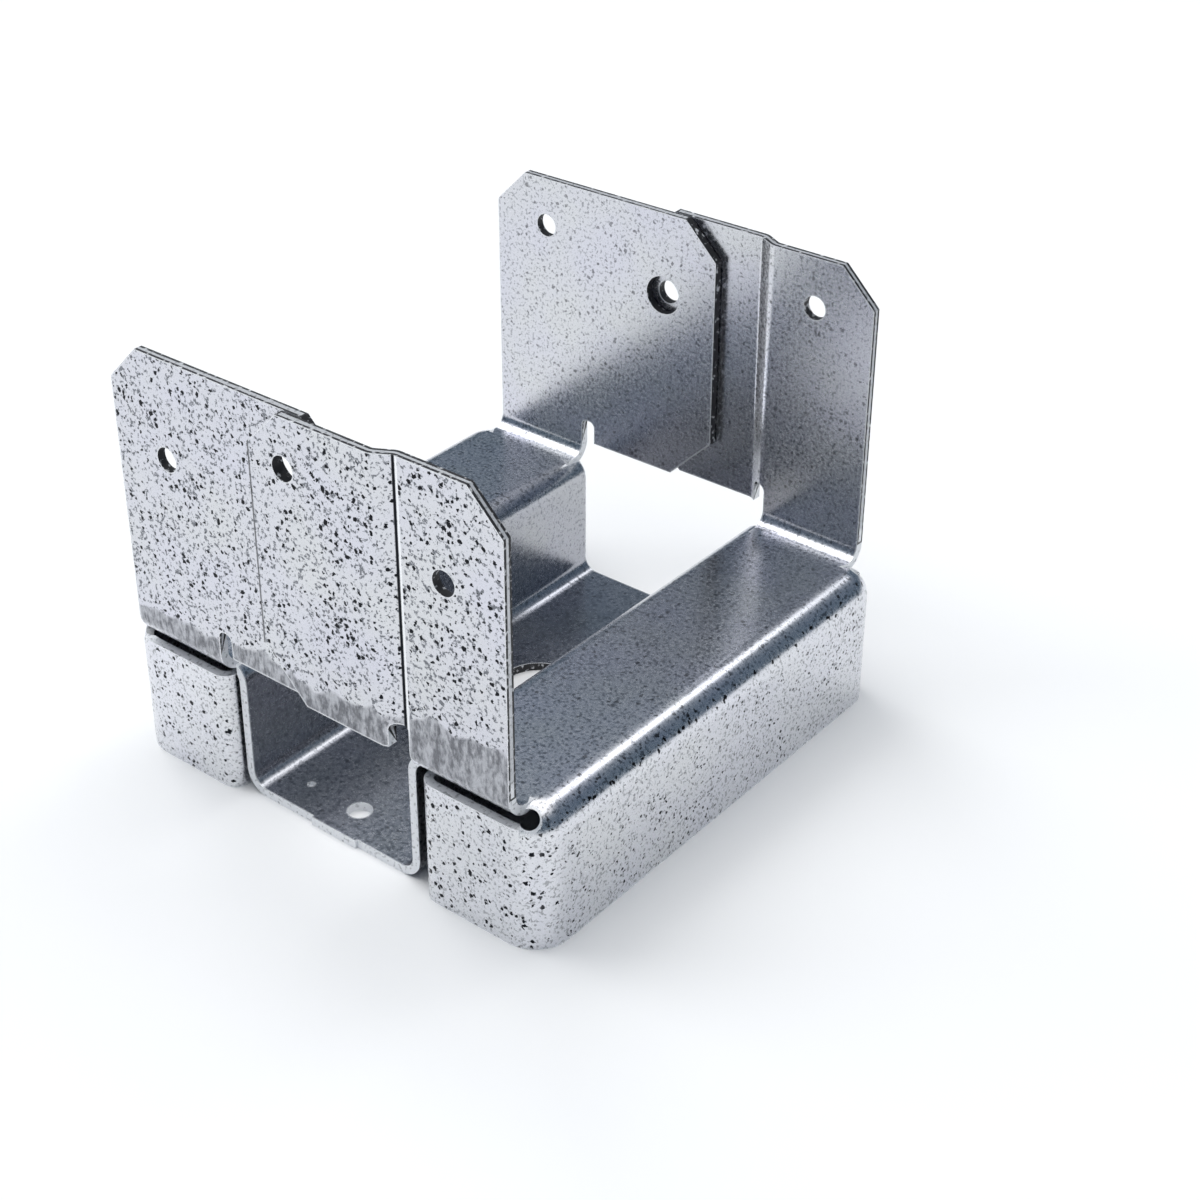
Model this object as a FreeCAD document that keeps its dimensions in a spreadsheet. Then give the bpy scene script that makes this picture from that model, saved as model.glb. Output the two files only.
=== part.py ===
"""Standoff post base, folded from one piece of galvanised sheet steel.

Millimetres. X runs along the uprights, the front is at -Y, Z is up and the base stands on Z = 0.
Seen from the front the sheet runs down the left outer wall, over the left seat, down to the tray
on the floor, up again to the right seat and down the right outer wall. Each seat carries an
upright at the front and one at the rear. The right uprights step outwards and overlap the left
ones. Each outer wall turns round its corner into a return flange whose end is curled inwards.
"""
import FreeCAD, Part
import math
import os
import Sketcher

doc = FreeCAD.newDocument("post_base")

# Driving sizes in millimetres: name, value, what it is
SIZES = [
    ("sheet_thickness", 1.5, "thickness of the sheet"),
    ("post_clearance", 90.5, "clear distance between front and rear uprights"),
    ("upright_width", 79.8, "width of a pair of uprights"),
    ("overall_height", 78.0, "floor to the top of the uprights"),
    ("seat_height", 25.2, "floor to the top of the seats, the standoff"),
    ("fold_radius", 2.6, "inner radius of the sharp folds"),
    ("shoulder_radius", 3.5, "inner radius of the fold from seat to outer wall"),
    ("tray_width", 35.6, "inside width of the tray"),
    ("tray_offset", -0.65, "sideways offset of the tray from the middle"),
    ("tray_setback", 2.85, "uprights' outer faces to the ends of the tray"),
    ("return_setback", 0.75, "uprights' outer faces to the faces of the return flanges"),
    ("return_drop", 2.8, "top of the seats down to the upper edges of the return flanges"),
    ("corner_radius", 6.5, "outer radius of the upright corner folds"),
    ("curl_radius", 2.8, "outer radius of the curled end of a return flange"),
    ("curl_lip", 0.5, "straight lip after the curl"),
    ("left_curl_gap", 0.8, "gap between the left curls and the tray wall"),
    ("right_curl_gap", 2.1, "gap between the right curls and the tray wall"),
    ("corner_sweep", 70.0, "how far the shoulder fold is carried round a corner, in degrees"),
    ("relief_diameter", 3.2, "relief hole where the folds of a corner meet"),
    ("relief_turn", 58.0, "place of the relief hole round the corner, in degrees from the wall"),
    ("relief_lean", 47.0, "place of the relief hole round the shoulder fold, in degrees from the seat"),
    ("foot_inset", 20.4, "middle of the base to the inner edge of an upright's foot"),
    ("notch_width", 2.8, "notch between the foot and the free part of an upright"),
    ("notch_rise", 7.3, "top of the seats up to the top of the notch"),
    ("notch_radius", 1.2, "radius of the notch's top corners"),
    ("flap_rise", 3.0, "top of the seats up to the lower edge of an upright's free part"),
    ("left_flap_end", 8.6, "middle of the base to the end of the left uprights"),
    ("right_flap_end", 7.8, "middle of the base to the end of the right uprights"),
    ("top_chamfer", 6.4, "cut corners at the top of the uprights"),
    ("flap_chamfer", 8.6, "cut corner at the bottom of a free end"),
    ("joggle_offset", 1.8, "outward step of the right uprights"),
    ("joggle_length", 3.2, "width of the ramp of the step"),
    ("joggle_radius", 1.2, "inner radius of the creases of the step"),
    ("nail_diameter", 4.2, "nail holes"),
    ("nail_clearance", 7.0, "larger hole in the inner sheet behind a middle nail hole"),
    ("nail_spread", 57.2, "distance between the outer nail holes of a side"),
    ("front_nail_drop", 17.5, "top of the uprights to the outer nail holes at the front"),
    ("front_middle_drop", 8.6, "top of the uprights to the middle nail hole at the front"),
    ("front_middle_offset", -0.6, "sideways place of the middle nail hole at the front"),
    ("rear_nail_drop", 8.9, "top of the uprights to the outer nail holes at the rear"),
    ("rear_middle_drop", 15.3, "top of the uprights to the middle nail hole at the rear"),
    ("rear_middle_offset", -2.4, "sideways place of the middle nail hole at the rear"),
    ("slot_width", 14.3, "anchor slot, for a half-inch bolt"),
    ("slot_travel", 15.0, "distance between the centres of the slot's round ends"),
    ("pilot_diameter", 4.0, "locating hole near the front edge of the tray"),
    ("pilot_distance", 38.1, "middle of the base to the locating hole"),
    ("prick_diameter", 1.1, "prick mark in the tray"),
    ("prick_depth", 0.5, "depth of the prick mark"),
    ("prick_offset", 11.1, "middle of the base to the prick mark, towards the left"),
    ("tab_width", 9.8, "stub of the strip that carried the blank, on the tray's front edge"),
    ("tab_reach", 0.45, "how far the stub stands out"),
]

sheet = doc.addObject("Spreadsheet::Sheet", "sizes")
for row, (name, value, note) in enumerate(SIZES, start=1):
    sheet.set("A%d" % row, name)
    sheet.set("B%d" % row, str(value))
    sheet.set("C%d" % row, note)
    sheet.setAlias("B%d" % row, name)
doc.recompute()


class Length:
    """A length: its value now, and the expression that ties it to the sizes."""

    def __init__(self, value, text):
        self.value = float(value)
        self.text = text

    def __add__(self, other):
        return Length(self.value + plain(other).value, "(%s + %s)" % (self.text, plain(other).text))

    def __sub__(self, other):
        return Length(self.value - plain(other).value, "(%s - %s)" % (self.text, plain(other).text))

    def __mul__(self, other):
        return Length(self.value * plain(other).value, "(%s * %s)" % (self.text, plain(other).text))

    def __truediv__(self, other):
        return Length(self.value / plain(other).value, "(%s / %s)" % (self.text, plain(other).text))

    def __neg__(self):
        return Length(-self.value, "(0 - %s)" % self.text)


def plain(number):
    """A number as a Length, so that both can be added."""
    return number if isinstance(number, Length) else Length(number, repr(float(number)))


def size(name):
    """The size of that name in the sheet."""
    return Length(sheet.get(name), "sizes." + name)


# Levels, faces and folds that several features share
thickness = size("sheet_thickness")
seat_top = size("seat_height")
seat_under = seat_top - thickness
top = size("overall_height")
fold_inner = size("fold_radius")
fold_outer = fold_inner + thickness
shoulder_inner = size("shoulder_radius")
shoulder_outer = shoulder_inner + thickness
upright_edge = size("upright_width") / 2
wall_face = upright_edge + shoulder_outer
wall_inside = wall_face - thickness
tray_right = size("tray_offset") + size("tray_width") / 2
tray_left = size("tray_offset") - size("tray_width") / 2
upright_inside = size("post_clearance") / 2
upright_face = upright_inside + thickness
tray_end = upright_face - size("tray_setback")
return_face = upright_face - size("return_setback")
return_inside = return_face - thickness
return_top = seat_top - size("return_drop")
corner_outer = size("corner_radius")
corner_inner = corner_outer - thickness
corner_across = wall_face - corner_outer
corner_depth = return_face - corner_outer
shoulder_reach = corner_outer - shoulder_outer
foot_edge = size("foot_inset")
foot_start = upright_face - fold_outer - thickness
notch_edge = foot_edge - size("notch_width")
notch_top = seat_top + size("notch_rise")
notch_radius = size("notch_radius")
flap_bottom = seat_top + size("flap_rise")
chamfer = size("top_chamfer")
flap_chamfer = size("flap_chamfer")
joggle = size("joggle_offset")
joggle_ramp = size("joggle_length")
crease_inner = size("joggle_radius")
crease_outer = crease_inner + thickness
lap_gap = joggle - thickness
lap_middle = upright_face + lap_gap / 2

# Tangent of half the angle by which the creases of the step bend the sheet
half_bend = Length(math.tan(math.atan2(joggle.value, joggle_ramp.value) / 2),
                   "tan(atan(%s / %s) / 2)" % (joggle.text, joggle_ramp.text))

# Room that a cut takes beyond the sheet, so that it leaves no skin
OVERCUT = 2.0

body = doc.addObject("PartDesign::Body", "post_base")
body.Label = "post_base"
origin_planes = {feature.Role: feature for feature in body.Origin.OriginFeatures}


def new_sketch(name, plane, height=None, across=None):
    """An empty sketch on an origin plane, or moved along its normal and its first axis."""
    sketch = body.newObject("Sketcher::SketchObject", name)
    sketch.AttachmentSupport = [(origin_planes[plane], "")]
    sketch.MapMode = "FlatFace"
    if height is not None:
        sketch.setExpression("AttachmentOffset.Base.z", height.text)
    if across is not None:
        sketch.setExpression("AttachmentOffset.Base.x", across.text)
    return sketch


def pin_point(sketch, item, place, x, y):
    """Ties a point of the sketch to its two coordinates."""
    for kind, coordinate in (("DistanceX", plain(x)), ("DistanceY", plain(y))):
        constraint = Sketcher.Constraint(kind, -1, 1, item, place, coordinate.value)
        number = sketch.addConstraint(constraint)
        sketch.setExpression("Constraints[%d]" % number, coordinate.text)


def draw_outline(sketch, corners):
    """Closes an outline through the corners; a corner with a radius becomes a tangent arc."""
    points = [FreeCAD.Vector(plain(c[0]).value, plain(c[1]).value, 0) for c in corners]
    radii = [plain(c[2]) if len(c) > 2 else None for c in corners]
    count = len(points)
    arrivals = []
    departures = []
    for here in range(count):
        back = (points[here - 1] - points[here]).normalize()
        ahead = (points[(here + 1) % count] - points[here]).normalize()
        if radii[here] is None:
            setback = 0.0
        else:
            setback = radii[here].value / math.tan(back.getAngle(ahead) / 2)
        arrivals.append(points[here] + back * setback)
        departures.append(points[here] + ahead * setback)
    lines = []
    for here in range(count):
        line = Part.LineSegment(departures[here], arrivals[(here + 1) % count])
        lines.append(sketch.addGeometry(line, False))
    for here, corner in enumerate(corners):
        before, after = lines[here - 1], lines[here]
        if radii[here] is None:
            sketch.addConstraint(Sketcher.Constraint("Coincident", before, 2, after, 1))
            pin_point(sketch, after, 1, corner[0], corner[1])
        else:
            round_corner(sketch, before, after, points[here], arrivals[here], departures[here], corner)


def round_corner(sketch, before, after, point, start, end, corner):
    """Joins two lines by an arc of the corner's radius, tangent to both."""
    radius = plain(corner[2])
    middle_way = ((start - point) + (end - point)).normalize()
    half_angle = (start - point).getAngle(end - point) / 2
    centre = point + middle_way * (radius.value / math.sin(half_angle))
    middle = centre - middle_way * radius.value
    arc = sketch.addGeometry(Part.Arc(start, middle, end), False)
    first = sketch.getPoint(arc, 1)
    arc_start, arc_end = (1, 2) if first.distanceToPoint(start) < first.distanceToPoint(end) else (2, 1)
    marker = sketch.addGeometry(Part.Point(point), True)
    pin_point(sketch, marker, 1, corner[0], corner[1])
    sketch.addConstraint(Sketcher.Constraint("PointOnObject", marker, 1, before))
    sketch.addConstraint(Sketcher.Constraint("PointOnObject", marker, 1, after))
    sketch.addConstraint(Sketcher.Constraint("Tangent", before, 2, arc, arc_start))
    sketch.addConstraint(Sketcher.Constraint("Tangent", after, 1, arc, arc_end))
    number = sketch.addConstraint(Sketcher.Constraint("Radius", arc, radius.value))
    sketch.setExpression("Constraints[%d]" % number, radius.text)


def draw_hole(sketch, x, y, diameter):
    """A circle with its centre and diameter tied to the sizes."""
    centre = FreeCAD.Vector(plain(x).value, plain(y).value, 0)
    circle = sketch.addGeometry(Part.Circle(centre, FreeCAD.Vector(0, 0, 1), diameter.value / 2), False)
    pin_point(sketch, circle, 3, x, y)
    number = sketch.addConstraint(Sketcher.Constraint("Diameter", circle, diameter.value))
    sketch.setExpression("Constraints[%d]" % number, diameter.text)


def pad(name, sketch, length):
    """Adds metal from the sketch along its normal."""
    feature = body.newObject("PartDesign::Pad", name)
    feature.Profile = sketch
    feature.setExpression("Length", length.text)
    doc.recompute()
    return feature


def pocket(name, sketch, length=None, forward=False):
    """Cuts from the sketch against its normal, or forward along it, to a depth or right through."""
    before = body.Tip.Shape.Volume
    feature = body.newObject("PartDesign::Pocket", name)
    feature.Profile = sketch
    feature.Reversed = forward
    if length is None:
        feature.Type = "ThroughAll"
    else:
        feature.setExpression("Length", plain(length).text)
    doc.recompute()
    if not feature.Shape.Volume < before:
        raise RuntimeError(name + " cuts nothing")
    return feature


def cut_rectangle(name, x0, x1, y0, y1):
    """Cuts a rectangle of the floor plan right through."""
    sketch = new_sketch(name + "_sketch", "XY_Plane")
    draw_outline(sketch, [(x0, y0), (x1, y0), (x1, y1), (x0, y1)])
    return pocket(name, sketch, forward=True)


def turn(kind, name, sketch, clockwise):
    """Turns the sketch round the corner about its upright axis, as metal or as a groove."""
    feature = body.newObject("PartDesign::" + kind, name)
    feature.Profile = sketch
    feature.ReferenceAxis = (sketch, ["V_Axis"])
    feature.Reversed = clockwise
    feature.setExpression("Angle", size("corner_sweep").text)
    doc.recompute()
    return feature


def fold_channel():
    """The long folded section: outer walls, seats, tray walls and tray, for the front half."""
    section = new_sketch("channel_section", "XZ_Plane")
    draw_outline(section, [
        (-wall_face, 0),
        (-wall_face, seat_top, shoulder_outer),
        (tray_left, seat_top, fold_outer),
        (tray_left, thickness, fold_inner),
        (tray_right, thickness, fold_inner),
        (tray_right, seat_top, fold_outer),
        (wall_face, seat_top, shoulder_outer),
        (wall_face, 0),
        (wall_inside, 0),
        (wall_inside, seat_under, shoulder_inner),
        (tray_right + thickness, seat_under, fold_inner),
        (tray_right + thickness, 0, fold_outer),
        (tray_left - thickness, 0, fold_outer),
        (tray_left - thickness, seat_under, fold_inner),
        (-wall_inside, seat_under, shoulder_inner),
        (-wall_inside, 0),
    ])
    pad("channel", section, upright_face)


def trim_ends():
    """Cuts the channel's end to the outline of the blank: tray, seats and outer walls."""
    beyond = -upright_face - OVERCUT
    cut_rectangle("tray_trim", -foot_edge, foot_edge, beyond, -tray_end)
    for side, label in ((-1, "left"), (1, "right")):
        outside = (wall_face + OVERCUT) * side
        cut_rectangle("%s_seat_trim" % label, foot_edge * side, upright_edge * side, beyond, -foot_start)
        cut_rectangle("%s_wall_trim" % label, upright_edge * side, outside, beyond, -corner_depth)


def fold_returns():
    """The corner folds and return flanges of both outer walls, with their curled ends."""
    curl_outer = size("curl_radius")
    curl_inner = curl_outer - thickness
    curl_end = curl_outer + size("curl_lip") - return_face
    overlap = thickness - corner_depth
    right_tip = tray_right + thickness + size("right_curl_gap")
    left_tip = -(tray_left - thickness - size("left_curl_gap"))
    for side, label, tip in ((-1, "left", left_tip), (1, "right", right_tip)):
        plan = new_sketch("%s_return_plan" % label, "XY_Plane")
        draw_outline(plan, [
            (wall_face * side, overlap),
            (wall_face * side, -return_face, corner_outer),
            (tip * side, -return_face, curl_outer),
            (tip * side, curl_end),
            ((tip + thickness) * side, curl_end),
            ((tip + thickness) * side, -return_inside, curl_inner),
            (wall_inside * side, -return_inside, corner_inner),
            (wall_inside * side, overlap),
        ])
        pad("%s_return" % label, plan, return_top)


def turn_shoulders():
    """Carries the shoulder fold round the corner folds, over the tops of the return flanges."""
    for side, label in ((-1, "left"), (1, "right")):
        waste = new_sketch("%s_shoulder_waste" % label, "XZ_Plane", corner_depth, corner_across * side)
        below = seat_top - shoulder_outer - OVERCUT
        draw_outline(waste, [
            (shoulder_reach / 2 * side, seat_top + OVERCUT),
            (shoulder_reach / 2 * side, seat_top),
            (corner_outer * side, seat_top, shoulder_outer),
            (corner_outer * side, below),
            ((corner_outer + OVERCUT) * side, below),
            ((corner_outer + OVERCUT) * side, seat_top + OVERCUT),
        ])
        turn("Groove", "%s_shoulder_groove" % label, waste, side > 0)
        pocket("%s_shoulder_trim" % label, waste, thickness)

        section = new_sketch("%s_shoulder_section" % label, "XZ_Plane", corner_depth, corner_across * side)
        draw_outline(section, [
            (0, seat_under),
            (0, seat_top),
            (corner_outer * side, seat_top, shoulder_outer),
            (corner_outer * side, 0),
            (corner_inner * side, 0),
            (corner_inner * side, seat_under, shoulder_inner),
        ])
        turn("Revolution", "%s_turned_shoulder" % label, section, side > 0)


def drill_corner_reliefs():
    """Round holes through the turned shoulders, where the folds of a corner would meet."""
    round_corner_by = math.radians(sheet.get("relief_turn"))
    lean = math.radians(sheet.get("relief_lean"))
    inside = shoulder_inner / 2
    reach = shoulder_reach + inside * math.sin(lean)
    for side, label in ((-1, "left"), (1, "right")):
        outwards = FreeCAD.Vector(side * math.sin(lean) * math.cos(round_corner_by),
                                  -math.sin(lean) * math.sin(round_corner_by), math.cos(lean))
        tilt = FreeCAD.Rotation(FreeCAD.Vector(0, 0, 1), outwards)
        across = (corner_across + reach * math.cos(round_corner_by)) * side
        along = -(corner_depth + reach * math.sin(round_corner_by))
        up = seat_top - shoulder_outer + inside * math.cos(lean)
        hole = body.newObject("PartDesign::SubtractiveCylinder", "%s_corner_relief" % label)
        hole.AttachmentSupport = [(origin_planes["XY_Plane"], "")]
        hole.MapMode = "FlatFace"
        hole.AttachmentOffset = FreeCAD.Placement(FreeCAD.Vector(), tilt)
        hole.setExpression("AttachmentOffset.Base.x", across.text)
        hole.setExpression("AttachmentOffset.Base.y", along.text)
        hole.setExpression("AttachmentOffset.Base.z", up.text)
        hole.setExpression("Radius", (size("relief_diameter") / 2).text)
        hole.setExpression("Height", shoulder_outer.text)
        doc.recompute()


def fold_feet():
    """The folds that turn each seat up into its upright."""
    for label, start in (("left", -upright_edge), ("right", foot_edge)):
        profile = new_sketch("%s_foot_profile" % label, "YZ_Plane", start)
        draw_outline(profile, [
            (-foot_start, seat_top),
            (-upright_inside, seat_top, fold_inner),
            (-upright_inside, notch_top),
            (-upright_face, notch_top),
            (-upright_face, seat_under, fold_outer),
            (-foot_start, seat_under),
        ])
        pad("%s_foot" % label, profile, upright_edge - foot_edge)


def raise_left_upright():
    """The flat upright that stands inside, with its cut corners and its notch."""
    flap_end = size("left_flap_end")
    outline = new_sketch("left_upright_outline", "XZ_Plane", upright_inside)
    draw_outline(outline, [
        (-upright_edge, flap_bottom),
        (-upright_edge, top - chamfer),
        (chamfer - upright_edge, top),
        (flap_end - chamfer, top),
        (flap_end, top - chamfer),
        (flap_end, flap_bottom + flap_chamfer),
        (flap_end - flap_chamfer, flap_bottom),
        (-notch_edge, flap_bottom),
        (-notch_edge, notch_top, notch_radius),
        (-foot_edge, notch_top, notch_radius),
        (-foot_edge, flap_bottom),
    ])
    pad("left_upright", outline, thickness)


def raise_right_upright():
    """The upright that steps outwards over the left one."""
    flap_end = -size("right_flap_end")
    step_outside = foot_edge - crease_inner * half_bend
    step_inside = foot_edge - crease_outer * half_bend
    plan = new_sketch("right_upright_plan", "XY_Plane", flap_bottom)
    draw_outline(plan, [
        (upright_edge, -upright_inside),
        (step_inside, -upright_inside, crease_outer),
        (step_inside - joggle_ramp, -(upright_inside + joggle), crease_inner),
        (flap_end, -(upright_inside + joggle)),
        (flap_end, -(upright_face + joggle)),
        (step_outside - joggle_ramp, -(upright_face + joggle), crease_outer),
        (step_outside, -upright_face, crease_inner),
        (upright_edge, -upright_face),
    ])
    pad("right_upright", plan, top - flap_bottom)

    outer = new_sketch("right_upright_corner", "XZ_Plane")
    draw_outline(outer, [
        (upright_edge - chamfer, top),
        (upright_edge, top - chamfer),
        (upright_edge + OVERCUT, top - chamfer),
        (upright_edge + OVERCUT, top + OVERCUT),
        (upright_edge - chamfer, top + OVERCUT),
    ])
    pocket("right_upright_chamfer", outer, forward=True)

    notch = new_sketch("right_notch_outline", "XZ_Plane")
    draw_outline(notch, [
        (notch_edge, flap_bottom - OVERCUT / 2),
        (notch_edge, notch_top, notch_radius),
        (foot_edge, notch_top, notch_radius),
        (foot_edge, flap_bottom - OVERCUT / 2),
    ])
    pocket("right_notch", notch, forward=True)

    upper = new_sketch("right_flap_top_corner", "XZ_Plane", lap_middle)
    draw_outline(upper, [
        (flap_end + chamfer, top),
        (flap_end, top - chamfer),
        (flap_end - OVERCUT, top - chamfer),
        (flap_end - OVERCUT, top + OVERCUT),
        (flap_end + chamfer, top + OVERCUT),
    ])
    pocket("right_flap_top_chamfer", upper, forward=True)

    lower = new_sketch("right_flap_bottom_corner", "XZ_Plane", lap_middle)
    draw_outline(lower, [
        (flap_end + flap_chamfer, flap_bottom),
        (flap_end, flap_bottom + flap_chamfer),
        (flap_end - OVERCUT, flap_bottom + flap_chamfer),
        (flap_end - OVERCUT, flap_bottom - OVERCUT),
        (flap_end + flap_chamfer, flap_bottom - OVERCUT),
    ])
    pocket("right_flap_bottom_chamfer", lower, forward=True)


def mirror_to_rear():
    """The rear half is the front half mirrored."""
    mirrored = body.newObject("PartDesign::Mirrored", "rear_half")
    mirrored.TransformMode = "Whole shape"
    mirrored.MirrorPlane = (origin_planes["XZ_Plane"], [""])
    body.Tip = mirrored
    doc.recompute()


def punch_nail_holes():
    """Three nail holes a side; behind each middle one the inner sheet has a larger hole."""
    spread = size("nail_spread") / 2
    nail = size("nail_diameter")
    for label, front in (("front", True), ("rear", False)):
        height = top - size("%s_nail_drop" % label)
        middle_x = size("%s_middle_offset" % label)
        middle_z = top - size("%s_middle_drop" % label)
        holes = new_sketch("%s_nail_hole_sketch" % label, "XZ_Plane")
        draw_hole(holes, -spread, height, nail)
        draw_hole(holes, middle_x, middle_z, nail)
        draw_hole(holes, spread, height, nail)
        pocket("%s_nail_holes" % label, holes, forward=front)
        wider = new_sketch("%s_clearance_hole_sketch" % label, "XZ_Plane")
        draw_hole(wider, middle_x, middle_z, size("nail_clearance"))
        pocket("%s_clearance_hole" % label, wider, lap_middle, forward=front)


def punch_tray():
    """The anchor slot, the locating hole and the prick mark."""
    slot = new_sketch("anchor_slot_sketch", "XY_Plane")
    radius = size("slot_width") / 2
    travel = size("slot_travel") / 2
    ends = []
    for way in (1, -1):
        centre = FreeCAD.Vector(0, way * travel.value, 0)
        side = FreeCAD.Vector(way * radius.value, 0, 0)
        crown = FreeCAD.Vector(0, way * radius.value, 0)
        ends.append(slot.addGeometry(Part.Arc(centre + side, centre + crown, centre - side), False))
        pin_point(slot, ends[-1], 3, 0, travel * way)
    for here, there in ((0, 1), (1, 0)):
        line = Part.LineSegment(slot.getPoint(ends[here], 2), slot.getPoint(ends[there], 1))
        item = slot.addGeometry(line, False)
        slot.addConstraint(Sketcher.Constraint("Tangent", ends[here], 2, item, 1))
        slot.addConstraint(Sketcher.Constraint("Tangent", item, 2, ends[there], 1))
    number = slot.addConstraint(Sketcher.Constraint("Radius", ends[0], radius.value))
    slot.setExpression("Constraints[%d]" % number, radius.text)
    pocket("anchor_slot", slot, forward=True)

    pilot = new_sketch("locating_hole_sketch", "XY_Plane")
    draw_hole(pilot, 0, -size("pilot_distance"), size("pilot_diameter"))
    pocket("locating_hole", pilot, thickness, forward=True)

    prick = new_sketch("prick_mark_sketch", "XY_Plane", thickness)
    draw_hole(prick, -size("prick_offset"), -size("pilot_distance"), size("prick_diameter"))
    pocket("prick_mark", prick, size("prick_depth"))


def leave_carrier_stub():
    """The stub on the tray's front edge, where the blank was cut from its strip."""
    stub = new_sketch("carrier_stub_sketch", "XY_Plane")
    half = size("tab_width") / 2
    draw_outline(stub, [
        (-half, -tray_end),
        (half, -tray_end),
        (half, -(tray_end + size("tab_reach"))),
        (-half, -(tray_end + size("tab_reach"))),
    ])
    pad("carrier_stub", stub, thickness)


fold_channel()
trim_ends()
fold_returns()
turn_shoulders()
drill_corner_reliefs()
fold_feet()
raise_left_upright()
raise_right_upright()
mirror_to_rear()
punch_nail_holes()
punch_tray()
leave_carrier_stub()
body.Placement = FreeCAD.Placement()
doc.recompute()

for item in doc.Objects:
    if "Invalid" in item.State or "Error" in item.State:
        raise RuntimeError("%s failed: %s" % (item.Name, item.State))
shape = body.Shape
if shape.isNull() or not shape.isValid() or len(shape.Solids) != 1:
    raise RuntimeError("the base isn't one valid solid")

os.makedirs("parts", exist_ok=True)
shape.exportStep("parts/%s.step" % body.Label)
box = shape.BoundBox
print("%s: %.1f x %.1f x %.1f mm, %.0f mm3" % (body.Label, box.XLength, box.YLength, box.ZLength, shape.Volume))
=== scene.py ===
import math

import bmesh
import bpy
from mathutils import Matrix, Vector
from mathutils.bvhtree import BVHTree


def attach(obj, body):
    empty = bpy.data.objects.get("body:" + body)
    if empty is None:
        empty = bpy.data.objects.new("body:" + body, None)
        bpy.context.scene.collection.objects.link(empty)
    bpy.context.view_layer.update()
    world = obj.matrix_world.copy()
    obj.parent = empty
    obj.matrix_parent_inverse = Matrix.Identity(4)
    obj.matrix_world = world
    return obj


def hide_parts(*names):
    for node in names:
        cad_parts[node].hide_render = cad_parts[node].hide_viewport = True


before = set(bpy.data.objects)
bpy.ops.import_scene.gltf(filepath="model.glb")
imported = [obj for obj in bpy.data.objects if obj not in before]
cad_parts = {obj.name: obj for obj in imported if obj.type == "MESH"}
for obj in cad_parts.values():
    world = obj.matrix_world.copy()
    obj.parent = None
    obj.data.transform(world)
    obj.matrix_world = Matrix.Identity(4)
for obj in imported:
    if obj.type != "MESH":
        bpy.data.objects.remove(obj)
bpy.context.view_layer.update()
mm = 0.001


# short ways to lay the nodes of a material

def addNode(tree, kind, **settings):
    node = tree.nodes.new(kind)
    for name, value in settings.items():
        setattr(node, name, value)
    return node


def fill(tree, socket, value):
    # another node's result is linked, anything else is set on the socket
    if isinstance(value, bpy.types.NodeSocket):
        tree.links.new(value, socket)
    else:
        socket.default_value = value


def emptyMaterial(name):
    material = bpy.data.materials.new(name)
    material.use_nodes = True
    tree = material.node_tree
    tree.nodes.clear()
    output = addNode(tree, "ShaderNodeOutputMaterial")
    shader = addNode(tree, "ShaderNodeBsdfPrincipled")
    fill(tree, output.inputs["Surface"], shader.outputs["BSDF"])
    return material, tree, shader


def objectPlace(tree):
    return addNode(tree, "ShaderNodeTexCoord").outputs["Object"]


def split(tree, source):
    node = addNode(tree, "ShaderNodeSeparateXYZ")
    fill(tree, node.inputs["Vector"], source)
    return node.outputs


def noise(tree, coordinates, scale, detail=2.0, roughness=0.5, output="Fac"):
    texture = addNode(tree, "ShaderNodeTexNoise")
    fill(tree, texture.inputs["Vector"], coordinates)
    fill(tree, texture.inputs["Scale"], scale)
    fill(tree, texture.inputs["Detail"], detail)
    fill(tree, texture.inputs["Roughness"], roughness)
    return texture.outputs[output]


def mapRange(tree, source, span, result=(0, 1)):
    node = addNode(tree, "ShaderNodeMapRange")
    fill(tree, node.inputs["Value"], source)
    fill(tree, node.inputs["From Min"], span[0])
    fill(tree, node.inputs["From Max"], span[1])
    fill(tree, node.inputs["To Min"], result[0])
    fill(tree, node.inputs["To Max"], result[1])
    return node.outputs["Result"]


def combine(tree, operation, *values):
    node = addNode(tree, "ShaderNodeMath", operation=operation)
    for socket, value in zip(node.inputs, values):
        fill(tree, socket, value)
    return node.outputs["Value"]


def multiply(tree, first, *others):
    for other in others:
        first = combine(tree, "MULTIPLY", first, other)
    return first


def combineVectors(tree, operation, *values, output="Vector"):
    node = addNode(tree, "ShaderNodeVectorMath", operation=operation)
    for socket, value in zip(node.inputs, values):
        fill(tree, socket, value)
    return node.outputs[output]


def blend(tree, factor, first, second):
    node = addNode(tree, "ShaderNodeMix", data_type="RGBA")
    fill(tree, node.inputs["Factor"], factor)
    fill(tree, node.inputs["A"], first)
    fill(tree, node.inputs["B"], second)
    return node.outputs["Result"]


def window(tree, source, limits, blur):
    # one between two limits, nought outside them
    low, high = limits
    rising = mapRange(tree, source, (low - blur, low + blur))
    falling = mapRange(tree, source, (high + blur, high - blur))
    return multiply(tree, rising, falling)


# zinc coat: tones are linear, scales are cells in a metre, a span runs from nought to full effect
zinc = {
    "tone": (0.68, 0.69, 0.71, 1),
    "lilacTone": (0.67, 0.675, 0.74, 1),
    "patchScale": 75,
    "patchSpan": (0.35, 0.65),
    "outerSpan": (20 * mm, 35 * mm),  # from the middle outwards, for faces that look outwards
    "roughness": (0.19, 0.29),
    "noiseSpan": (0.3, 0.7),  # where most of the noise lies
    "bump": 0.35,
    "bumpDepth": 0.02 * mm,
    "bumpScale": 850,
    "lowLight": 0.3,  # the pale floor's light, low on the outer faces
    "lowTop": 24 * mm,
    "lowSoft": 2 * mm,
}

# fine grey grains between the specks
grains = {
    "tone": (0.17, 0.18, 0.20, 1),
    "scale": 1700,
    "span": (0.46, 0.37),
    "strength": (0.62, 1.0),
}

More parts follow.
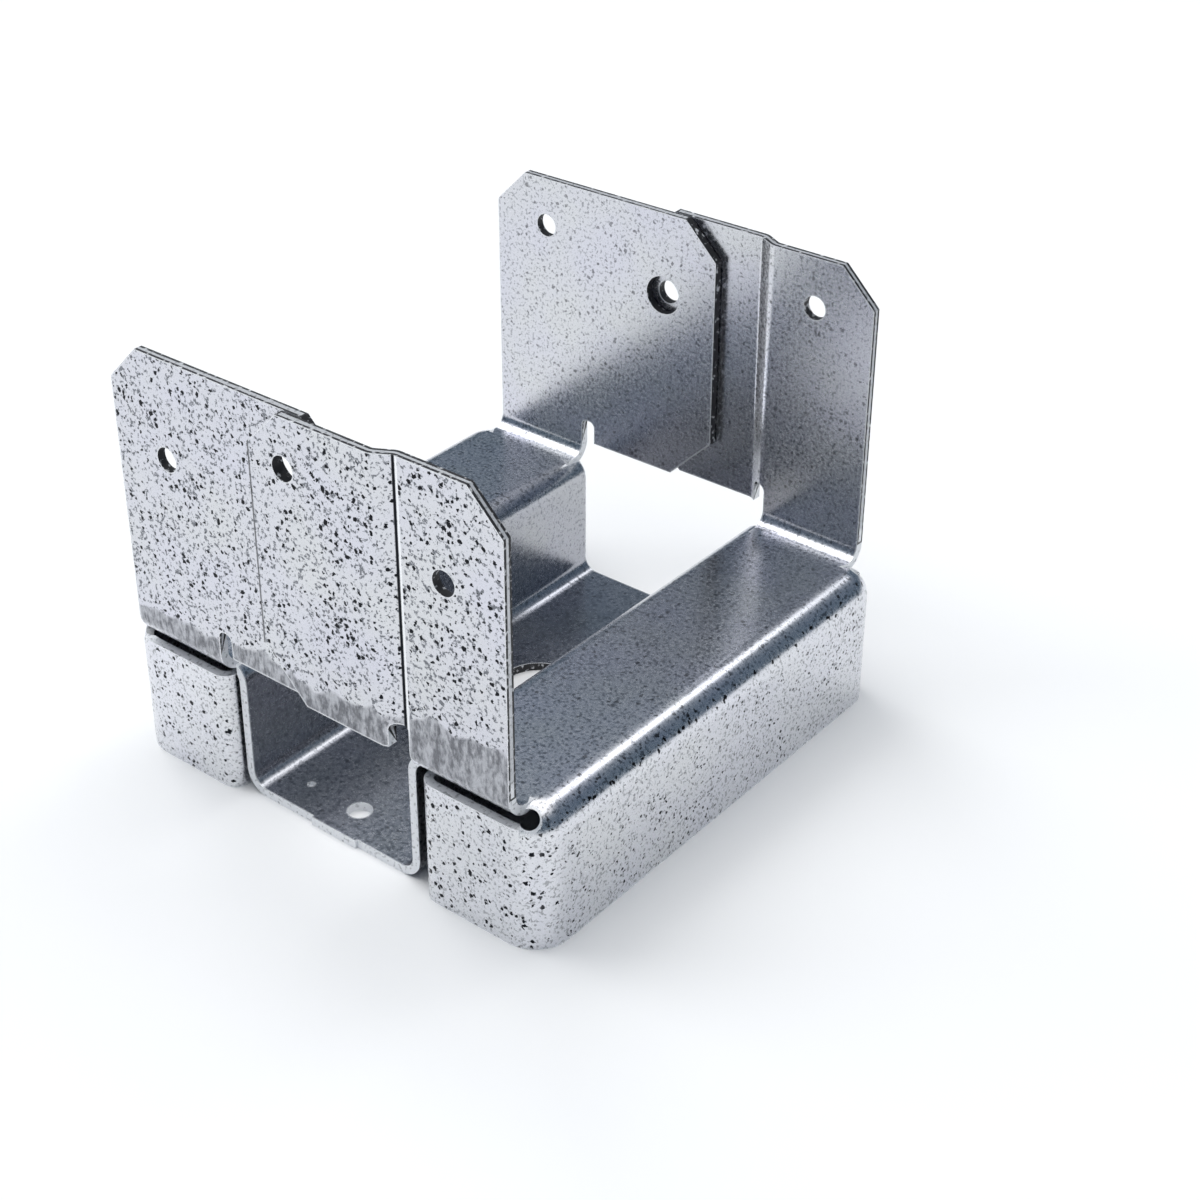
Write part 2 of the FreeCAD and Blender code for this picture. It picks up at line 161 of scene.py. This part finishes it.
# dark specks, bolder on the outer faces than on the inner ones
specks = {
    "tone": (0.012, 0.013, 0.016, 1),
    "scale": 980,
    "radius": (-0.08, 0.42),
    "blur": 0.03,
    "bend": 1.0 * mm,  # pulls them out of round
    "bendScale": 1500,
    "crowd": (-0.07, 0.06),  # fewer or more of them from place to place
    "crowdScale": 150,
    "strength": {"outer": 1.0, "wall": 1.0, "inner": 0.6},
    "shrink": 0.07,  # on the inner faces
    "wallShare": 1.15,  # keeps them at full size on the walls
}

# pale line along the sheet's arrises: painted highlight, partly worn zinc
edgeWearAndHighlight = {
    "tone": (0.90, 0.91, 0.93, 1),
    "width": 0.5 * mm,
    "samples": 6,
    "turnSpan": (0.997, 0.97),
    "metallic": 0.35,
}

# painted shade inside the tray's channel, deeper lower down
trayShade = {
    "shade": 0.4,
    "across": (-1 * mm, 19.3 * mm),
    "blur": 0.4 * mm,
    "heightSpan": (24 * mm, 22 * mm),
}

# smoother, darker strip that the press left at the foot of the front uprights
footBand = {
    "darkTone": (0.13, 0.135, 0.15, 1),
    "paleTone": (0.46, 0.47, 0.50, 1),
    "strength": 0.9,
    "specksLeft": 0.25,
    "streakScale": 1100,
    "streakStretch": (1.0, 1.0, 0.4),
    "streakSpan": (0.38, 0.62),
    "bottomSpan": (25 * mm, 27 * mm),
    "top": 33.0 * mm,
    "rise": 0.07,  # slope of its upper limit to the right
    "waver": 3.0 * mm,
    "waverScale": 160,
    "blur": 0.35 * mm,
    "facingSpan": (-0.8, -0.95),
    "frontSpan": (-45.5 * mm, -46.5 * mm),
}

# painted shade and painted highlight lines at the inner crease of the step, and a painted shade line at the
# lap's edge
creaseShadeAndHighlight = {
    "creaseShade": (19.8 * mm, 20.25 * mm),
    "creaseHighlight": (20.3 * mm, 20.7 * mm),
    "heightSpan": (30 * mm, 31 * mm),
    "blur": 0.06 * mm,
    "lapShade": (-7.95 * mm, -7.45 * mm),
    "lapStrength": 0.75,
    "lapDepthSpan": (47.9 * mm, 48.1 * mm),
}


def facing(tree):
    return addNode(tree, "ShaderNodeNewGeometry").outputs["Normal"]


def edgeWearAndHighlightMask(tree):
    # one beside a sharp edge, nought elsewhere
    rounded = addNode(tree, "ShaderNodeBevel", samples=edgeWearAndHighlight["samples"])
    fill(tree, rounded.inputs["Radius"], edgeWearAndHighlight["width"])
    turned = combineVectors(tree, "DOT_PRODUCT", rounded.outputs["Normal"], facing(tree), output="Value")
    return mapRange(tree, turned, edgeWearAndHighlight["turnSpan"])


def outerMasks(tree, place):
    # the outer faces of uprights and flanges, and the faces of the walls
    normal = split(tree, facing(tree))
    outer = mapRange(tree, multiply(tree, place["Y"], normal["Y"]), zinc["outerSpan"])
    wall = mapRange(tree, multiply(tree, place["X"], normal["X"]), zinc["outerSpan"])
    return outer, wall


def speckMask(tree, coordinates, outer, wall):
    # spots of mixed size, bent out of round, more of them in some places
    bend = noise(tree, coordinates, specks["bendScale"], output="Color")
    bent = combineVectors(tree, "MULTIPLY_ADD", bend, (specks["bend"],) * 3, coordinates)
    cells = addNode(tree, "ShaderNodeTexVoronoi")
    fill(tree, cells.inputs["Vector"], bent)
    fill(tree, cells.inputs["Scale"], specks["scale"])
    radius = mapRange(tree, split(tree, cells.outputs["Color"])["X"], (0, 1), specks["radius"])
    full = combine(tree, "MAXIMUM", outer, multiply(tree, wall, specks["wallShare"]))
    radius = combine(tree, "ADD", radius, mapRange(tree, full, (0, 1), (-specks["shrink"], 0)))
    crowd = mapRange(tree, noise(tree, coordinates, specks["crowdScale"]), zinc["noiseSpan"], specks["crowd"])
    inside = combine(tree, "SUBTRACT", combine(tree, "ADD", radius, crowd), cells.outputs["Distance"])
    strength = specks["strength"]
    onWall = mapRange(tree, wall, (0, 1), (strength["inner"], strength["wall"]))
    onOuter = mapRange(tree, outer, (0, 1), (strength["inner"], strength["outer"]))
    sharp = mapRange(tree, inside, (-specks["blur"], specks["blur"]))
    return multiply(tree, sharp, combine(tree, "MAXIMUM", onWall, onOuter))


def footMask(tree, coordinates, place):
    # one on the strip, with a sloping and wavering upper limit
    waver = footBand["waver"]
    waver = mapRange(tree, noise(tree, coordinates, footBand["waverScale"]), (0, 1), (-waver, waver))
    slope = multiply(tree, place["X"], footBand["rise"])
    height = combine(tree, "SUBTRACT", combine(tree, "SUBTRACT", place["Z"], slope), waver)
    top, blur = footBand["top"], footBand["blur"]
    below = mapRange(tree, height, (top + blur, top - blur))
    above = mapRange(tree, place["Z"], footBand["bottomSpan"])
    turned = mapRange(tree, split(tree, facing(tree))["Y"], footBand["facingSpan"])
    front = multiply(tree, turned, mapRange(tree, place["Y"], footBand["frontSpan"]))
    return multiply(tree, below, above, front)


def zincTone(tree, coordinates, place, grain, band):
    # patches, grains, the floor's light low down, specks, foot band and the tray's painted shade, one over
    # the other
    outer, wall = outerMasks(tree, place)
    outside = combine(tree, "MAXIMUM", outer, wall)
    patches = mapRange(tree, noise(tree, coordinates, zinc["patchScale"], detail=3), zinc["patchSpan"])
    tone = blend(tree, patches, zinc["tone"], zinc["lilacTone"])
    strength = mapRange(tree, outside, (0, 1), grains["strength"])
    tone = blend(tree, multiply(tree, mapRange(tree, grain, grains["span"]), strength), tone, grains["tone"])
    lowSpan = (zinc["lowTop"], zinc["lowTop"] - zinc["lowSoft"])
    low = mapRange(tree, place["Z"], lowSpan, (0, zinc["lowLight"]))
    tone = blend(tree, multiply(tree, outside, low), tone, edgeWearAndHighlight["tone"])
    left = mapRange(tree, band, (0, 1), (1, footBand["specksLeft"]))
    tone = blend(tree, multiply(tree, speckMask(tree, coordinates, outer, wall), left), tone, specks["tone"])

    stretched = combineVectors(tree, "MULTIPLY", coordinates, footBand["streakStretch"])
    streaks = noise(tree, stretched, footBand["streakScale"], detail=3, roughness=0.65)
    streaks = mapRange(tree, streaks, footBand["streakSpan"])
    bandTone = blend(tree, streaks, footBand["darkTone"], footBand["paleTone"])
    tone = blend(tree, multiply(tree, band, footBand["strength"]), tone, bandTone)

    # painted shade in the tray's channel, strongest below 22 mm
    inTray = window(tree, combine(tree, "ABSOLUTE", place["X"]), trayShade["across"], trayShade["blur"])
    depth = mapRange(tree, place["Z"], trayShade["heightSpan"], (0, trayShade["shade"]))
    return blend(tree, multiply(tree, inTray, depth), tone, grains["tone"]), outer


def addPaintedLines(tree, tone, place, outer):
    # painted shade and highlight lines beside the step, and painted shade at the lap's edge
    step = multiply(tree, outer, mapRange(tree, place["Z"], creaseShadeAndHighlight["heightSpan"]))
    creaseShade = multiply(tree, step, window(tree, place["X"], creaseShadeAndHighlight["creaseShade"], creaseShadeAndHighlight["blur"]))
    creaseHighlight = multiply(tree, step, window(tree, place["X"], creaseShadeAndHighlight["creaseHighlight"], creaseShadeAndHighlight["blur"]))
    tone = blend(tree, creaseHighlight, tone, edgeWearAndHighlight["tone"])
    tone = blend(tree, creaseShade, tone, specks["tone"])
    depth = combine(tree, "ABSOLUTE", place["Y"])
    onLap = mapRange(tree, depth, creaseShadeAndHighlight["lapDepthSpan"], (0, creaseShadeAndHighlight["lapStrength"]))
    lapShade = multiply(tree, onLap, window(tree, place["X"], creaseShadeAndHighlight["lapShade"], creaseShadeAndHighlight["blur"]))
    return blend(tree, lapShade, tone, specks["tone"])


def makeZinc():
    material, tree, shader = emptyMaterial("galvanisedSheet")
    coordinates = objectPlace(tree)
    place = split(tree, coordinates)
    grain = noise(tree, coordinates, grains["scale"], roughness=0.6)
    onEdgeWearAndHighlight = edgeWearAndHighlightMask(tree)
    tone, outer = zincTone(tree, coordinates, place, grain, footMask(tree, coordinates, place))
    # painted highlight, partly worn zinc: a pale, less metallic line beside the sharp edges
    tone = blend(tree, onEdgeWearAndHighlight, tone, edgeWearAndHighlight["tone"])
    fill(tree, shader.inputs["Base Color"], addPaintedLines(tree, tone, place, outer))

    fill(tree, shader.inputs["Roughness"], mapRange(tree, grain, zinc["noiseSpan"], zinc["roughness"]))
    fill(tree, shader.inputs["Metallic"], mapRange(tree, onEdgeWearAndHighlight, (0, 1), (1, edgeWearAndHighlight["metallic"])))
    bump = addNode(tree, "ShaderNodeBump")
    fill(tree, bump.inputs["Strength"], zinc["bump"])
    fill(tree, bump.inputs["Distance"], zinc["bumpDepth"])
    height = noise(tree, coordinates, zinc["bumpScale"], detail=3, roughness=0.6)
    fill(tree, bump.inputs["Height"], height)
    fill(tree, shader.inputs["Normal"], bump.outputs["Normal"])
    return material


# bare steel where the blank was cut: bright below, duller above the seats
shearedEdge = {
    "tone": (0.88, 0.89, 0.91, 1),
    "highTone": (0.6, 0.61, 0.63, 1),
    "highFrom": 30 * mm,
    "highSoft": 1 * mm,
    "grainScale": 1500,
    "grainSpan": (0.45, 0.3),
    "grainStrength": 0.5,
    "metallic": 0.35,
    "roughness": 0.42,
}

# painted shade in the walls of the nail holes and the anchor slot, at the ends of the lapped uprights and in
# a strip along the high cut edges, partly dark cut steel
darkSteelAndShade = {
    "tone": (0.012, 0.012, 0.015, 1),
    "width": 0.5 * mm,
    "wearScale": 1100,
    "wearSpan": (0.58, 0.68),
    "roughness": 0.6,
    "uprights": {"across": 33 * mm, "above": 34 * mm, "below": 77 * mm},  # cuts here are dark throughout
    "slot": {"across": 7.3 * mm, "along": 15 * mm},
}


def makeShearedEdge():
    material, tree, shader = emptyMaterial("shearedEdge")
    coordinates = objectPlace(tree)
    highSpan = (shearedEdge["highFrom"], shearedEdge["highFrom"] + shearedEdge["highSoft"])
    high = mapRange(tree, split(tree, coordinates)["Z"], highSpan)
    tone = blend(tree, high, shearedEdge["tone"], shearedEdge["highTone"])
    grain = noise(tree, coordinates, shearedEdge["grainScale"])
    grain = mapRange(tree, grain, shearedEdge["grainSpan"], (0, shearedEdge["grainStrength"]))
    fill(tree, shader.inputs["Base Color"], blend(tree, grain, tone, darkSteelAndShade["tone"]))
    fill(tree, shader.inputs["Metallic"], shearedEdge["metallic"])
    fill(tree, shader.inputs["Roughness"], shearedEdge["roughness"])
    return material


def makeDarkSteelAndShade():
    material, tree, shader = emptyMaterial("darkSteelAndShadeFinish")
    wear = mapRange(tree, noise(tree, objectPlace(tree), darkSteelAndShade["wearScale"]), darkSteelAndShade["wearSpan"])
    # painted shade, partly dark cut steel, broken up by noise
    fill(tree, shader.inputs["Base Color"], blend(tree, wear, darkSteelAndShade["tone"], shearedEdge["highTone"]))
    fill(tree, shader.inputs["Roughness"], darkSteelAndShade["roughness"])
    return material


sheetMetal = {
    "node": "post_base",
    "slot": "galvanised_sheet",
    "thickness": 1.5 * mm,
    "thicknessSlack": 0.12 * mm,
    "probeStart": 0.01 * mm,  # how far under a face its ray through the sheet starts
    "weld": 0.001 * mm,  # joins corners that the faces of the CAD mesh have each for themselves
    "smoothAngle": 28,  # in degrees, edges turned further stay sharp
}


def isSheared(face, surface):
    # no opposite face one sheet thickness behind it
    inwards = -face.normal
    start = face.calc_center_median() + inwards * sheetMetal["probeStart"]
    hit, _, _, distance = surface.ray_cast(start, inwards)
    return hit is None or abs(distance - sheetMetal["thickness"]) > sheetMetal["thicknessSlack"]


def isShaded(place):
    # where the painted shade goes: walls of the nail holes and of the anchor slot, and the ends of the lapped
    # uprights
    uprights, slot = darkSteelAndShade["uprights"], darkSteelAndShade["slot"]
    if uprights["above"] < place.z < uprights["below"] and abs(place.x) < uprights["across"]:
        return True
    inSlot = abs(place.x) < slot["across"] and abs(place.y) < slot["along"]
    return inSlot and place.z < sheetMetal["thickness"]


def makeSheet():
    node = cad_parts[sheetMetal["node"]]
    zincSlot, shearedSlot, darkSteelAndShadeSlot = range(3)  # in the order in which the finishes are added below
    mesh = bmesh.new()
    mesh.from_mesh(node.data)
    bmesh.ops.remove_doubles(mesh, verts=mesh.verts, dist=sheetMetal["weld"])
    mesh.normal_update()
    surface = BVHTree.FromBMesh(mesh)
    high = []
    for face in mesh.faces:
        face.smooth = True
        face.material_index = zincSlot
        if not isSheared(face, surface):
            continue
        place = face.calc_center_median()
        face.material_index = darkSteelAndShadeSlot if isShaded(place) else shearedSlot
        if face.material_index == shearedSlot and place.z > shearedEdge["highFrom"]:
            high.append(face)
    # a strip of painted shade, partly dark cut steel, round the high cut faces
    strips = bmesh.ops.inset_region(mesh, faces=high, thickness=darkSteelAndShade["width"],
                                    use_even_offset=False, use_boundary=True)
    for face in strips["faces"]:
        face.smooth = True
        face.material_index = darkSteelAndShadeSlot
    limit = math.radians(sheetMetal["smoothAngle"])
    for edge in mesh.edges:
        edge.smooth = edge.calc_face_angle(math.pi) < limit

    data = bpy.data.meshes.new("foldedSheet")
    mesh.to_mesh(data)
    mesh.free()
    for finish in (makeZinc(), makeShearedEdge(), makeDarkSteelAndShade()):
        data.materials.append(finish)
    sheet = bpy.data.objects.new("folded_sheet", data)
    bpy.context.scene.collection.objects.link(sheet)
    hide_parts(sheetMetal["node"])
    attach(sheet, "root")


floorPlane = {
    "tone": (0.97, 0.97, 0.97, 1),
    "roughness": 0.9,
    "halfWidth": 6.0,
}


def makeFloor():
    half = floorPlane["halfWidth"]
    corners = [(-half, -half, 0), (half, -half, 0), (half, half, 0), (-half, half, 0)]
    data = bpy.data.meshes.new("studioFloor")
    data.from_pydata(corners, [], [(0, 1, 2, 3)])
    floor = bpy.data.objects.new("studio_floor", data)
    bpy.context.scene.collection.objects.link(floor)
    material, tree, shader = emptyMaterial("paleFloor")
    fill(tree, shader.inputs["Base Color"], floorPlane["tone"])
    fill(tree, shader.inputs["Roughness"], floorPlane["roughness"])
    data.materials.append(material)


# sky tones by the sine of their height, from the horizon to straight above; lamps' angles in degrees
studio = {
    "sky": [
        (0.0, (0.10, 0.14, 0.18, 1)),
        (0.45, (0.11, 0.15, 0.20, 1)),
        (0.74, (0.21, 0.25, 0.30, 1)),
        (0.87, (1.48, 1.48, 1.48, 1)),
        (1.0, (1.88, 1.88, 1.88, 1)),
    ],
    "lamps": [
        {"name": "keyLamp", "azimuth": -88, "elevation": 43, "spread": 56, "strength": 1.6},
        {"name": "rimLamp", "azimuth": 172, "elevation": 50, "spread": 16, "strength": 0.14},
    ],
}


def makeSky():
    world = bpy.data.worlds.new("studioSky")
    bpy.context.scene.world = world
    world.use_nodes = True
    tree = world.node_tree
    tree.nodes.clear()
    output = addNode(tree, "ShaderNodeOutputWorld")
    sky = addNode(tree, "ShaderNodeBackground")
    height = split(tree, addNode(tree, "ShaderNodeTexCoord").outputs["Generated"])["Z"]
    ramp = addNode(tree, "ShaderNodeValToRGB")
    elements = ramp.color_ramp.elements
    while len(elements) < len(studio["sky"]):
        elements.new(0.5)
    for element, (position, tone) in zip(elements, studio["sky"]):
        element.position = position
        element.color = tone
    fill(tree, ramp.inputs["Fac"], height)
    fill(tree, sky.inputs["Color"], ramp.outputs["Color"])
    fill(tree, output.inputs["Surface"], sky.outputs["Background"])


def direction(azimuth, elevation):
    # from the middle outwards; azimuth 0 stands in front and looks along +Y
    a, e = math.radians(azimuth), math.radians(elevation)
    return Vector((math.sin(a) * math.cos(e), -math.cos(a) * math.cos(e), math.sin(e)))


def makeLamps():
    for lamp in studio["lamps"]:
        data = bpy.data.lights.new(lamp["name"], "SUN")
        data.angle = math.radians(lamp["spread"])
        data.energy = lamp["strength"]
        item = bpy.data.objects.new(lamp["name"], data)
        away = direction(lamp["azimuth"], lamp["elevation"])
        item.location = away
        item.rotation_mode = "QUATERNION"
        item.rotation_quaternion = away.to_track_quat("Z", "Y")
        bpy.context.scene.collection.objects.link(item)


# the photograph's camera, place in metres round the middle of the base
camera = {
    "place": (0.2029, -0.2333, 0.2199),
    "azimuth": 41.24,
    "elevation": 30.34,
    "roll": -1.29,
    "lens": 64.9,
    "sensor": 36,
    "shift": (0.0833, -0.0667),
    "clip": (0.01, 50),
}


def makeCamera():
    back = direction(camera["azimuth"], camera["elevation"])
    right = Vector((0, 0, 1)).cross(back).normalized()
    up = back.cross(right)
    roll = math.radians(camera["roll"])
    rolledRight = math.cos(roll) * right + math.sin(roll) * up
    rolledUp = math.cos(roll) * up - math.sin(roll) * right
    data = bpy.data.cameras.new("photoCamera")
    data.lens = camera["lens"]
    data.sensor_width = camera["sensor"]
    data.shift_x, data.shift_y = camera["shift"]
    data.clip_start, data.clip_end = camera["clip"]
    item = bpy.data.objects.new("photo_camera", data)
    turn = Matrix((rolledRight, rolledUp, back)).transposed().to_4x4()
    item.matrix_world = Matrix.Translation(Vector(camera["place"])) @ turn
    bpy.context.scene.collection.objects.link(item)
    bpy.context.scene.camera = item


print("camera")
makeCamera()
print("sheet")
makeSheet()
print("studio")
makeFloor()
makeSky()
makeLamps()
bpy.context.scene.view_settings.view_transform = "Standard"
